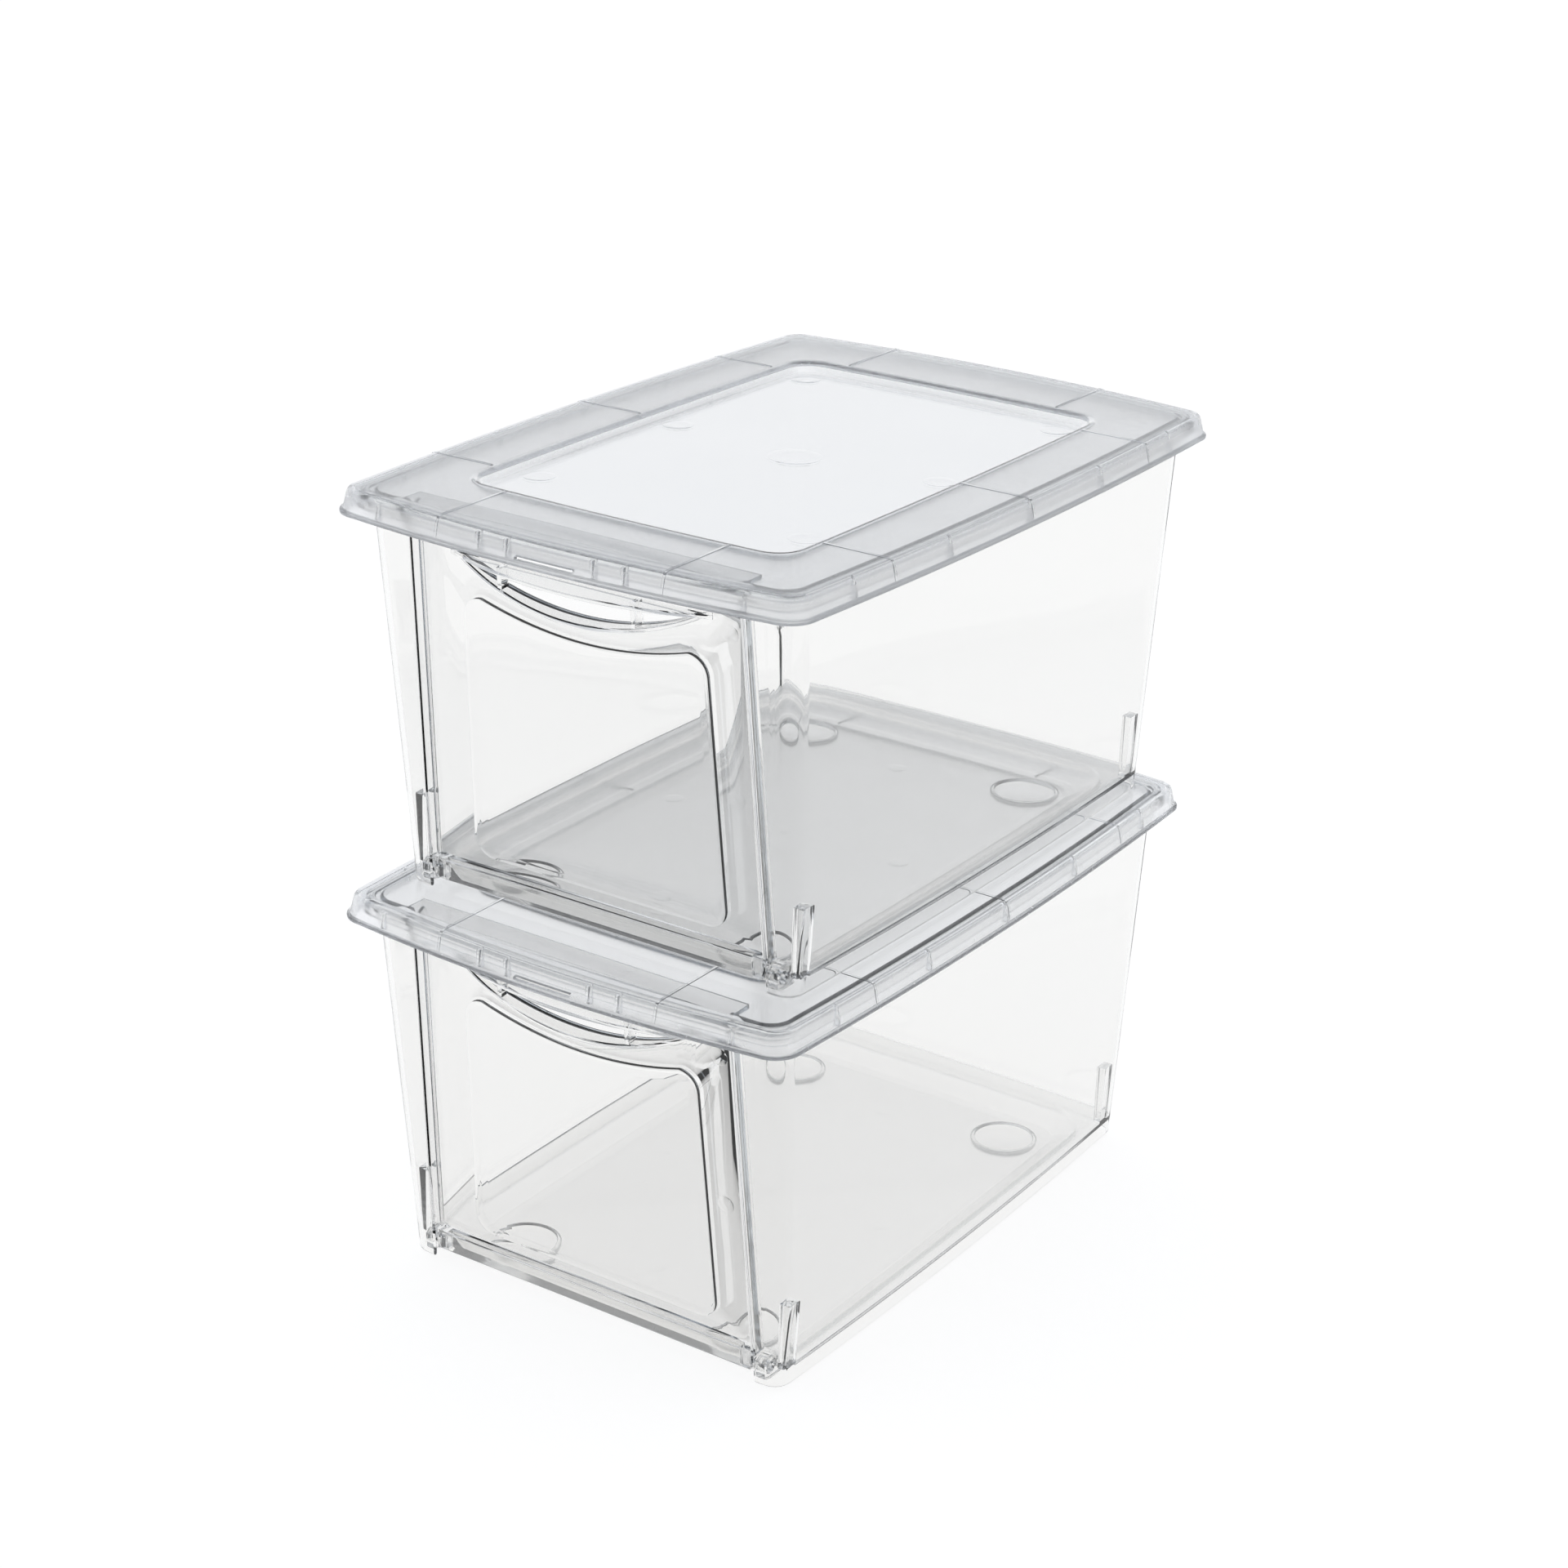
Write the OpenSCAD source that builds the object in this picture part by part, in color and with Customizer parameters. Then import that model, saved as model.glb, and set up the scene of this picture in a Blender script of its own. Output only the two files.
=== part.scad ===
// Stacking front-door storage bin: two identical bins, each a tub, a drop-down door and a lift-off lid.
// Millimetres. X is width, the doors face -Y, Z is up, the table is z = 0.

/* [Lid] */
// Lid width between its corners, at the skirt foot
lid_w = 223.4; // [160:0.2:300]
// Lid length between its corners, at the skirt foot
lid_l = 328.8; // [240:0.2:420]
// Outward bow of the lid's long edges
lid_bow_side = 5; // [0:0.5:10]
// Outward bow of the lid's short edges
lid_bow_end = 8.1; // [0:0.1:12]
// Lid corner radius
lid_r = 12.6; // [5:0.2:25]
// Height of the lid skirt
skirt_h = 10.6; // [6:0.2:20]
// How far the top edge sits inside the skirt foot
lid_inset = 3.6; // [1:0.2:6]
// Wall thickness of the lid
lid_t = 2; // [1.2:0.1:3]
// Half width of the sunk panel
panel_hw = 77; // [50:1:90]
// Half length of the sunk panel
panel_hl = 122; // [80:1:140]
// Depth of the sunk panel
panel_d = 4; // [2:0.5:8]
// Height of the stacking ridges on the lid
ridge_h = 0.5; // [0.2:0.1:1]

/* [Tub] */
// Height of one bin from its foot rim to the lid top
bin_h = 175.2; // [120:0.2:240]
// Foot drop of the four round feet under the foot rim
foot_h = 2; // [1:0.5:4]
// Wall thickness of the tub
wall_t = 2; // [1.2:0.1:3]
// Half width of the tub at its foot
base_hw = 96.7; // [70:0.1:120]
// Half width of the tub at its top
top_hw = 102.9; // [75:0.1:125]
// Front face of the posts at the foot
base_yf = -136.6; // [-170:0.1:-110]
// Back face at the foot
base_yb = 147.8; // [110:0.1:170]
// Front face of the posts at the top
top_yf = -155.6; // [-175:0.1:-115]
// Back face at the top
top_yb = 155.4; // [115:0.1:175]
// Height of the floor's raised border
shelf_z = 9; // [5:0.5:15]
// Radius of the round feet
foot_r = 15.5; // [8:0.5:20]

/* [Door] */
// Half width of the door at the bottom
door_hw_low = 83; // [60:0.5:100]
// Half width of the door at the top
door_hw_top = 78.5; // [60:0.5:100]
// Height of the door's top edge above the foot rim
door_top = 158; // [120:1:200]
// Setback of the door face behind the posts
door_set = 5; // [3:0.5:8]
// Thickness of the door plate
door_t = 2; // [1.2:0.1:3]
// How far the middle of the door is stepped back
door_step = 1.2; // [0.5:0.1:2]
// Height of the hinge axis above the foot rim
hinge_z = 7; // [5:0.5:12]
// Radius of the hinge pins
pin_r = 2.8; // [2:0.1:4]
// Radial clearance of the hinge pins
pin_gap = 0.06; // [0.02:0.01:0.1]

/* [Handle] */
// Half width of the finger pull
pull_hw = 64; // [40:1:75]
// Height of the middle of the finger pull's lower lip
pull_low = 139.6; // [110:0.2:150]
// Rise of the lower lip from middle to end
pull_rise = 17.5; // [8:0.5:25]
// Reach of the lower lip in front of the door face
pull_reach = 7; // [3:0.5:12]
// Reach of the upper lip in front of the door face
lip_reach = 12; // [5:0.5:15]
// Height of the upper lip
lip_z = 154.4; // [130:0.2:158]

/* [Hidden] */
gap = 0.3;
pitch = bin_h + ridge_h + gap;
lean = atan((base_yf - top_yf) / (bin_h - lid_t - gap));
tub_top = bin_h - lid_t - gap;
door_y = base_yf + door_set;
hinge_y = door_y - hinge_z * tan(lean) + 0.8;
big = 400;

// Bowed rectangle with rounded corners. hw is the corner half width, yf and yb the corner front and back.
function bow(c, half, s) = s * (1 - pow(c / half, 2));
function side_pts(hw, yf, yb, bs, r, n = 8) = let(yc = (yf + yb) / 2, hl = (yb - yf) / 2)
    [for (i = [0:n]) let(t = -(hl - r) + 2 * (hl - r) * i / n) [hw + bow(t, hl, bs), yc + t]];
function end_pts(hw, yb, be, r, n = 6) =
    [for (i = [0:n]) let(t = (hw - r) - 2 * (hw - r) * i / n) [t, yb + bow(t, hw, be)]];
function corner_pts(hw, yb, bs, be, r, hl, m = 5) =
    let(cx = hw + bow(hl - r, hl, bs) - r, cy = yb + bow(hw - r, hw, be) - r)
    [for (i = [1:m - 1]) let(a = 90 * i / m) [cx + r * cos(a), cy + r * sin(a)]];
function flip_x(p) = [for (i = [len(p) - 1:-1:0]) [-p[i][0], p[i][1]]];
function flip_y(p) = [for (i = [len(p) - 1:-1:0]) [p[i][0], -p[i][1]]];
function outline_pts(hw, yf, yb, bs, bf, bb, r) =
    let(hl = (yb - yf) / 2,
        cb = corner_pts(hw, yb, bs, bb, r, hl), cf = corner_pts(hw, -yf, bs, bf, r, hl),
        right = side_pts(hw, yf, yb, bs, r))
    concat(right, cb, end_pts(hw, yb, bb, r), flip_x(cb), flip_x(right), flip_x(flip_y(cf)),
        flip_y(flip_x(end_pts(hw, -yf, bf, r))), flip_y(cf));

module outline(hw, yf, yb, bs, bf, bb, r) {
    polygon(outline_pts(hw, yf, yb, bs, bf, bb, r));
}

module slice(z) {
    translate([0, 0, z]) linear_extrude(0.02) children();
}

// Outline of the tub at height z, shrunk by d all round.
module tub_outline(z, d = 0) {
    k = z / tub_top;
    outline(base_hw + (top_hw - base_hw) * k - d, base_yf + (top_yf - base_yf) * k + d,
        base_yb + (top_yb - base_yb) * k - d, 3 + 1.5 * k, 0.5, 2 + 4 * k, max(8.5 + 3 * k - d, 2));
}

// Outline of the lid, shrunk by d all round.
module lid_outline(d) {
    outline(lid_w / 2 - d, -lid_l / 2 + d, lid_l / 2 - d, lid_bow_side, lid_bow_end, lid_bow_end,
        lid_r - min(d, 6));
}

module panel_outline(grow) {
    outline(panel_hw + grow, -panel_hl - grow, panel_hl + grow, 1.5, 1.5, 1.5, 12 + grow);
}

module tub_block(z0, z1, d) {
    hull() {
        slice(z0) tub_outline(z0, d);
        slice(z1 - 0.02) tub_outline(z1, d);
    }
}

// Height-wise slot for the door: a trapezium through the front wall.
module door_slot() {
    translate([0, -100, 0]) rotate([90, 0, 0]) linear_extrude(100)
        polygon([[-door_hw_low - 1.6, -1], [door_hw_low + 1.6, -1],
            [door_hw_top + 1.6, door_top + 1], [door_hw_top + 1.4, 164.4],
            [-door_hw_top - 1.4, 164.4], [-door_hw_top - 1.6, door_top + 1]]);
}

module hinge_lug(s) {
    difference() {
        union() {
            translate([s * 86.9, hinge_y, hinge_z]) rotate([0, 90, 0])
                cylinder(h = 4.2, r = 5.4, center = true, $fn = 48);
            translate([s * 86.9 - 2.1, hinge_y, hinge_z - 5.4]) cube([4.2, 8, 9]);
        }
        translate([s * 86.9, hinge_y, hinge_z]) rotate([0, 90, 0])
            cylinder(h = 6, r = pin_r + pin_gap, center = true, $fn = 48);
    }
}

module corner_ribs() {
    for (s = [-1, 1], y = [-132, 132])
        translate([s > 0 ? 92.2 : -97.5, y, shelf_z - 1]) cube([5.3, 7, 30]);
}

module floor_pan() {
    difference() {
        union() {
            translate([0, 0, shelf_z - 2]) linear_extrude(2) tub_outline(shelf_z, 1);
            hull() {
                slice(0.3) panel_outline(3);
                slice(shelf_z - 1) panel_outline(12.5);
            }
        }
        hull() {
            slice(2.3) panel_outline(2.4);
            slice(shelf_z + 0.1) panel_outline(12.5);
        }
        translate([-big / 2, -big - 123, -1]) cube([big, big, 20]);
    }
    translate([-96, -125, 0.3]) cube([192, 2.2, shelf_z - 0.3]);
}

module round_feet() {
    for (s = [-1, 1], y = [-103, 105.5]) translate([s * 59.5, y, 0]) difference() {
        translate([0, 0, -foot_h]) cylinder(h = foot_h + 2, r = foot_r, $fn = 64);
        translate([0, 0, 2 - foot_h]) cylinder(h = 4, r = foot_r - 1.8, $fn = 64);
    }
}

module top_rim() {
    difference() {
        translate([0, 0, 167]) linear_extrude(tub_top - 167)
            outline(105.4, -158.3, 158.3, 5, 7.6, 7.6, 9.5);
        translate([0, 0, 160]) linear_extrude(20)
            outline(101, -153.6, 153.6, 4.4, 6.6, 6, 9.5);
        translate([0, 0, 160]) linear_extrude(tub_top - 161.8) difference() {
            outline(104, -156.9, 156.9, 4.8, 7.3, 7.1, 9.5);
            outline(102.8, -155.6, 155.6, 4.6, 7, 6.6, 9.5);
        }
    }
    translate([-82, -157.5, tub_top - 2.2]) cube([164, 13, 2.18]);
}

module post_returns() {
    for (s = [-1, 1]) intersection() {
        tub_block(0, 168, 0.4);
        translate([0, base_yf, 0]) rotate([lean, 0, 0]) rotate([90, 0, 0])
            translate([0, 0, -7.5]) linear_extrude(8)
            polygon([for (p = [[door_hw_low + 0.5, 13.5], [door_hw_low + 2.1, 13.5],
                [door_hw_top + 2.1, 168], [door_hw_top + 0.5, 168]]) [s * p[0], p[1]]]);
    }
}

module tub_body() {
    difference() {
        union() {
            difference() {
                tub_block(0, tub_top, 0);
                tub_block(-0.5, tub_top + 0.5, wall_t);
                door_slot();
            }
            floor_pan();
            corner_ribs();
            post_returns();
            for (s = [-1, 1]) hinge_lug(s);
        }
        for (s = [-1, 1]) translate([s * 59.5, s, 0]) for (y = [-103 - s, 105.5 - s])
            translate([0, y, 2 - foot_h]) cylinder(h = 20, r = foot_r - 1.8, $fn = 64);
    }
    top_rim();
    round_feet();
}

// Everything on the door is drawn upright in front of the hinge axis and then leant forward with the posts.
module door_frame() {
    translate([0, door_y, 0]) rotate([lean, 0, 0]) children();
}

module front_extrude(y0, y1) {
    translate([0, y1, 0]) rotate([90, 0, 0]) linear_extrude(y1 - y0) children();
}

pull_R = (pow(pull_hw, 2) + pow(pull_rise, 2)) / (2 * pull_rise);
module reach_cut(reach, z0, z1) {
    R = (pow(pull_hw, 2) + pow(reach, 2)) / (2 * reach);
    translate([0, R - reach, z0]) cylinder(h = z1 - z0, r = R, $fn = 240);
}

module pull_lips() {
    intersection() {
        front_extrude(-pull_reach - 1, 0.5) difference() {
            translate([0, pull_low + pull_R]) circle(r = pull_R, $fn = 240);
            translate([0, pull_low + pull_R]) circle(r = pull_R - 2, $fn = 240);
            translate([-big / 2, lip_z]) square([big, big]);
        }
        reach_cut(pull_reach, pull_low - 1, lip_z + 1);
    }
    intersection() {
        translate([-pull_hw - 2, -lip_reach - 1, lip_z]) cube([2 * pull_hw + 4, lip_reach + 1.5, 1.8]);
        reach_cut(lip_reach, lip_z - 1, lip_z + 3);
    }
    for (x = [-36, 29]) intersection() {
        front_extrude(-pull_reach - 1, 0.5) difference() {
            translate([x - 1.1, pull_low]) square([2.2, lip_z - pull_low + 0.5]);
            difference() {
                translate([-big / 2, 0]) square([big, big]);
                translate([0, pull_low + pull_R]) circle(r = pull_R - 1, $fn = 240);
            }
        }
        reach_cut(pull_reach, pull_low - 1, lip_z + 2);
    }
}

// The stepped middle of the door: straight sides and foot, a top edge that follows the finger pull.
function frame_top(x, d) = 129.6 - d + 8.4 * pow(x / 52, 2);
function frame_pts(d) =
    let(xb = 62.8 - d, xt = 59.2 - d, zb = 19.5 + d, r = 9 - d, n = 12, zt = frame_top(xt - r, d))
    concat(
        [for (i = [0:4]) let(a = -90 + 22.5 * i) [xb - r + r * cos(a), zb + r + r * sin(a)]],
        [for (i = [0:3]) let(a = 22.5 * i) [xt - r + r * cos(a), zt - r + r * sin(a)]],
        [for (i = [0:n]) let(x = (xt - r) * (1 - 2 * i / n)) [x, frame_top(x, d)]],
        [for (i = [0:3]) let(a = 112.5 + 22.5 * i) [-xt + r + r * cos(a), zt - r + r * sin(a)]],
        [for (i = [0:4]) let(a = 180 + 22.5 * i) [-xb + r + r * cos(a), zb + r + r * sin(a)]]);

module door_body() {
    door_frame() {
        difference() {
            union() {
                front_extrude(0, door_t) polygon([[-door_hw_low, 14], [-door_hw_low, 3], [door_hw_low, 3],
                    [door_hw_low, 14], [door_hw_top, door_top], [-door_hw_top, door_top]]);
                front_extrude(door_t - 0.5, door_t + door_step) polygon(frame_pts(0));
            }
            front_extrude(-1, door_step) polygon(frame_pts(1.4));
            front_extrude(-1, door_t + 1) intersection() {
                translate([0, pull_low + pull_R]) circle(r = pull_R - 2, $fn = 240);
                translate([-big / 2, 0]) square([big, lip_z - 1.6]);
            }
        }
        difference() {
            translate([-82.4, -4.6, 5.6]) cube([164.8, 5, 10]);
            translate([-77, -3.2, 4]) cube([154, 3.2, 9.8]);
        }
        pull_lips();
        for (s = [-1, 1]) front_extrude(-1.6, 0.5)
            polygon([for (p = [[door_hw_low - 1.6, 15], [door_hw_low, 15], [door_hw_top, door_top],
                [door_hw_top - 1.6, door_top]]) [s * p[0], p[1]]]);
    }
    for (s = [-1, 1]) {
        translate([s * 86, hinge_y, hinge_z]) rotate([0, 90, 0])
            cylinder(h = 6.4, r = pin_r, center = true, $fn = 48);
        translate([s * 81.5, hinge_y, hinge_z]) rotate([0, 90, 0])
            cylinder(h = 3, r = pin_r + 0.9, center = true, $fn = 48);
    }
}

module ridges() {
    for (s = [-1, 1]) {
        for (x = [-54, 54]) translate([x - 0.7, s > 0 ? panel_hl + 2 : -lid_l / 2 + 1, bin_h - 0.5])
            cube([1.4, lid_l / 2 - panel_hl - 3, 0.5 + ridge_h]);
        for (y = [-101, 0, 101]) translate([s > 0 ? panel_hw + 2 : -lid_w / 2 + 4, y - 0.7, bin_h - 0.5])
            cube([lid_w / 2 - panel_hw - 6, 1.4, 0.5 + ridge_h]);
    }
}

module skirt_ribs() {
    for (s = [-1, 1]) {
        for (y = [-125, -60, 0, 60, 125]) let(x = 107.1 + bow(y, lid_l / 2, lid_bow_side))
            translate([s * x - 1.2, y - 0.8, 165.4]) cube([2.4, 1.6, 9]);
        for (x = [-87, 87]) translate([x - 0.8, s > 0 ? 161.3 : -163.6, 165.4]) cube([1.6, 2.3, 9]);
    }
}

// Upright walls of the two latch pockets behind the front skirt.
module latch_walls() {
    for (x = [-32.5, -18.5, 22.5, 36.5]) let(y = lid_l / 2 + bow(x, lid_w / 2, lid_bow_end))
        translate([x - 0.7, 1.2 - y, bin_h - 9.6]) cube([1.4, 4.4, 8.4]);
}

module lid_body() {
    difference() {
        union() {
            hull() {
                slice(bin_h - skirt_h) lid_outline(1.2);
                slice(bin_h - 1.2) lid_outline(lid_inset - 0.4);
                slice(bin_h - 0.02) lid_outline(lid_inset + 0.8);
            }
            translate([0, 0, bin_h - skirt_h]) linear_extrude(1.8) lid_outline(0);
        }
        hull() {
            slice(bin_h - skirt_h - 0.5) lid_outline(3);
            slice(bin_h - lid_t - 0.02) lid_outline(lid_inset + 1.7);
        }
        hull() {
            slice(bin_h - panel_d) panel_outline(-3);
            slice(bin_h + 0.1) panel_outline(0);
        }
        translate([-14, -175, bin_h - 8.4]) cube([28, 10, 1.4]);
    }
    difference() {
        hull() {
            slice(bin_h - panel_d - lid_t) panel_outline(-2);
            slice(bin_h - lid_t) panel_outline(1.5);
        }
        hull() {
            slice(bin_h - panel_d) panel_outline(-3);
            slice(bin_h + 0.1) panel_outline(0);
        }
    }
    ridges();
    skirt_ribs();
    latch_walls();
}

module place(level) {
    translate([0, 0, foot_h + level * pitch]) children();
}

module lower_tub() { color([0.86, 0.88, 0.9, 0.35]) place(0) tub_body(); }
module lower_door() { color([0.88, 0.89, 0.9, 0.35]) place(0) door_body(); }
module lower_lid() { color([0.8, 0.82, 0.85, 0.6]) place(0) lid_body(); }
module upper_tub() { color([0.86, 0.88, 0.9, 0.35]) place(1) tub_body(); }
module upper_door() { color([0.88, 0.89, 0.9, 0.35]) place(1) door_body(); }
module upper_lid() { color([0.8, 0.82, 0.85, 0.6]) place(1) lid_body(); }

lower_tub();
lower_door();
lower_lid();
upper_tub();
upper_door();
upper_lid();
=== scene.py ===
import math
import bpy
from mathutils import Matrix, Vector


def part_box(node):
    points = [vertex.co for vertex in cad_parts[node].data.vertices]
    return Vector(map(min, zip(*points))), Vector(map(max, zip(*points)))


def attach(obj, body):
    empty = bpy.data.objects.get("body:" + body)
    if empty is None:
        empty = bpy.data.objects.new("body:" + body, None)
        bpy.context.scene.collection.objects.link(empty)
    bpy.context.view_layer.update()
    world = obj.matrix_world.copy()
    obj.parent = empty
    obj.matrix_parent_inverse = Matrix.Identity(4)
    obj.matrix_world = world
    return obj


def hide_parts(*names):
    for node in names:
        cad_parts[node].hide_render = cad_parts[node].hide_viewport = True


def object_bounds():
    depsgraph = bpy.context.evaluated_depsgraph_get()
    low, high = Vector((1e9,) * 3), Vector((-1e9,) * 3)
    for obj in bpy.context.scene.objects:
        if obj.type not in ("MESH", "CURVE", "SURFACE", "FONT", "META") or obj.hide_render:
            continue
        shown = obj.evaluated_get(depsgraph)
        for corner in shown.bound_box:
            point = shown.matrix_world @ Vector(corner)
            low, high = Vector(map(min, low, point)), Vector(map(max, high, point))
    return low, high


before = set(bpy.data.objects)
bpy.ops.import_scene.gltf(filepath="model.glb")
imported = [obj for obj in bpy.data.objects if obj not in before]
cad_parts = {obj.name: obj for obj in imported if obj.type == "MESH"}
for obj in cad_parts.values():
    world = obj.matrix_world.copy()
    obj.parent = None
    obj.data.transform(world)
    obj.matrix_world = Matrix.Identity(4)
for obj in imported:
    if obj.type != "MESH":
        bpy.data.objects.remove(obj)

from types import SimpleNamespace

import bmesh
import bpy
from bpy.props import FloatProperty, FloatVectorProperty, PointerProperty
from mathutils import Matrix, Vector

bl_info = {
    "name": "Stacking Front-Door Bins",
    "version": (1, 0, 0),
    "blender": (4, 5, 0),
    "location": "3D View > Sidebar > Bins",
    "description": "Two stacked clear bins with drop-down doors and frosted lids, and a pale stage",
    "category": "Object",
}

CAD_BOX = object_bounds()
LEVELS = ("lower", "upper")
MM = 1000.0

# In millimetres over a bin's foot rim: the top of its lid, and the top of its tub.
BIN_HIGH = 175.2
TUB_TOP = BIN_HIGH - 2.3

# Points round a bowed outline: along each long side, each short side and each corner.
SIDE_STEPS, END_STEPS, CORNER_STEPS = 30, 22, 9

# In millimetres along the width and the length: where the small moulded features stand.
RIDGES_ON_ENDS, RIDGES_ON_SIDES = (-54, 54), (-101, 0, 101)
SKIRT_RIBS_ON_ENDS, SKIRT_RIBS_ON_SIDES = (-87, 87), (-125, -60, 0, 60, 125)
LATCH_WALLS = (-32.5, -18.5, 22.5, 36.5)
LID_MARKS = [(-65, 106), (65, 106), (-66, 8), (66, 8), (-65, -90), (65, -90)]
FLOOR_MARKS = [(0, 0), (0, -88), (0, 92), (-58, 0), (58, 0)]
DOOR_MARKS = [(70.5, 150), (70.5, 80), (-70.5, 110), (-70.5, 60)]
FEET = [(-59.5, -103), (-59.5, 105.5), (59.5, -103), (59.5, 105.5)]
PULL_STRUTS = (-36, 29)
LUG_X = 86.9


def length(name, description, millimetres):
    """A size for the sidebar, given in millimetres and kept in metres."""
    return FloatProperty(
        name=name, description=description, default=millimetres / MM, unit="LENGTH", subtype="DISTANCE"
    )


def half_size(node):
    """Half the width and half the length of a node's box, in millimetres."""
    low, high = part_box(node)
    return (high.x - low.x) / 2 * MM, (high.y - low.y) / 2 * MM


LID_HALF_X, LID_HALF_Y = half_size("lower_lid")


class BinLidSizes(bpy.types.PropertyGroup):
    """Sizes of each lid"""

    side_bow: length("Side bow", "How far the lid's long edges bow outward", 5.0)
    end_bow: length("End bow", "How far the lid's short edges bow outward", 8.1)
    corner: length("Corner", "Radius of the lid's corners", 12.6)
    skirt: length("Skirt", "Height of the lid's skirt", 10.6)
    wall: length("Wall", "Thickness of the lid", 2.0)
    panel_half_x: length("Panel half width", "Half the width of the sunk panel", 77.0)
    panel_half_y: length("Panel half length", "Half the length of the sunk panel", 122.0)
    panel_corner: length("Panel corner", "Radius of the sunk panel's corners", 12.0)
    panel_depth: length("Panel depth", "How far the panel sits below the frame", 4.0)
    ridge: length("Ridge", "Height of the thin ridges across the frame", 0.45)


class BinTubSizes(bpy.types.PropertyGroup):
    """Sizes of each tub"""

    foot_half_x: length("Foot half width", "Half the tub's width at its foot, at the corners", 96.7)
    top_half_x: length("Top half width", "Half the tub's width at its top, at the corners", 102.9)
    foot_front: length("Foot front", "Front of the posts at the foot", -136.6)
    foot_back: length("Foot back", "Back wall at the foot", 147.8)
    top_front: length("Top front", "Front of the posts at the top", -155.6)
    top_back: length("Top back", "Back wall at the top", 155.4)
    wall: length("Wall", "Thickness of the tub's walls", 2.0)
    border: length("Border", "Height of the floor's raised border", 9.0)
    foot_drop: length("Foot drop", "How far the round feet reach below the foot rim", 2.0)
    foot_radius: length("Foot radius", "Radius of the round feet", 15.5)


class BinDoorSizes(bpy.types.PropertyGroup):
    """Sizes of each door and its finger pull"""

    low_half_x: length("Low half width", "Half the door's width at its foot", 83.0)
    top_half_x: length("Top half width", "Half the door's width at its top", 78.5)
    top: length("Top", "Height of the door's top edge over the foot rim", 158.0)
    setback: length("Setback", "How far the door sits behind the posts' front", 5.0)
    plate: length("Plate", "Thickness of the door", 2.0)
    step: length("Step", "How far the door's middle is stepped back", 1.2)
    hinge_z: length("Hinge height", "Height of the hinge over the foot rim", 7.0)
    pin: length("Pin radius", "Radius of the hinge pins", 2.8)
    pull_half_x: length("Pull half width", "Half the width of the finger pull", 64.0)
    pull_low: length("Pull foot", "Height of the lowest point of the finger pull", 139.6)
    pull_rise: length("Pull rise", "Rise of the lower lip from its middle to its ends", 17.5)
    pull_reach: length("Lower lip reach", "How far the lower lip stands in front of the door", 7.0)
    lip_reach: length("Upper lip reach", "How far the upper lip stands in front of the door", 12.0)
    lip_z: length("Upper lip height", "Height of the upper lip over the foot rim", 154.4)


class BinFinish(bpy.types.PropertyGroup):
    """Colours and roughness of the clear and the frosted plastic, and of the stage's floor"""

    clear_depth: FloatVectorProperty(
        name="Clear depth colour", description="What thick clear plastic shades towards",
        default=(0.42, 0.52, 0.62), subtype="COLOR", size=3, min=0, max=1)
    clear_density: FloatProperty(
        name="Clear density", description="How quickly light fades inside the clear plastic, per metre",
        default=5.0, min=0)
    clear_tint: FloatVectorProperty(
        name="Clear tint", description="Colour of the light that a clear wall lets through",
        default=(0.955, 0.952, 0.944), subtype="COLOR", size=3, min=0, max=1)
    frost_depth: FloatVectorProperty(
        name="Frost depth colour", description="What the frosted plastic shades towards",
        default=(0.42, 0.52, 0.62), subtype="COLOR", size=3, min=0, max=1)
    frost_density: FloatProperty(
        name="Frost density", description="How quickly light fades inside the frosted plastic, per metre",
        default=7.0, min=0)
    index: FloatProperty(
        name="Index", description="Refractive index of the plastic", default=1.49, min=1.0, max=2.0)
    frost_rough: FloatProperty(
        name="Frost roughness", description="Roughness of the lid's frosted skirt",
        default=0.33, min=0, max=1, subtype="FACTOR")
    frame_frost: FloatProperty(
        name="Frame frost", description="How frosted the flat frame of the lid is, against its skirt",
        default=0.56, min=0, max=1, subtype="FACTOR")
    satin: FloatProperty(
        name="Satin", description="How frosted the frame's upper surface is, against its underside",
        default=0.8, min=0, max=1, subtype="FACTOR")
    lower_frost: FloatProperty(
        name="Lower lid frost", description="How frosted the lower lid is, against the upper",
        default=0.72, min=0, max=1, subtype="FACTOR")
    grain: FloatProperty(
        name="Grain", description="How much the frosting varies from speck to speck",
        default=0.35, min=0, max=1, subtype="FACTOR")
    floor_rough: FloatProperty(
        name="Floor roughness", description="Roughness of the tub's floor",
        default=0.20, min=0, max=1, subtype="FACTOR")
    clear_rough: FloatProperty(
        name="Clear roughness", description="Roughness of the clear walls",
        default=0.015, min=0, max=1, subtype="FACTOR")
    frost_tint: FloatVectorProperty(
        name="Frost tint", description="Colour of the light that the frosted plastic lets through",
        default=(0.960, 0.969, 0.985), subtype="COLOR", size=3, min=0, max=1)
    milk: FloatProperty(
        name="Milkiness", description="Share of light that the frosted frame scatters back",
        default=0.06, min=0, max=1, subtype="FACTOR")
    floor_colour: FloatVectorProperty(
        name="Floor colour", description="Colour of the pale floor",
        default=(0.3, 0.3, 0.3), subtype="COLOR", size=3, min=0, max=1)
    floor_glow: FloatProperty(
        name="Floor glow", description="How brightly the floor is lit from below, like a light table",
        default=0.87, min=0)


def in_mm(group):
    """The group's lengths in millimetres, as plain numbers."""
    return SimpleNamespace(**{name: getattr(group, name) * MM for name in group.__annotations__})


def foot_rim_z(level):
    """Height of a bin's foot rim over the table, in metres."""
    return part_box(f"{level}_tub")[0].z + bpy.context.scene.bin_tub.foot_drop


# ---------------------------------------------------------------- outlines and lofts, in millimetres

def bow(at, half, amount):
    """How far a bowed edge stands out at a place along it: all of the amount in its middle."""
    return amount * (1 - (at / half) ** 2)


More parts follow.
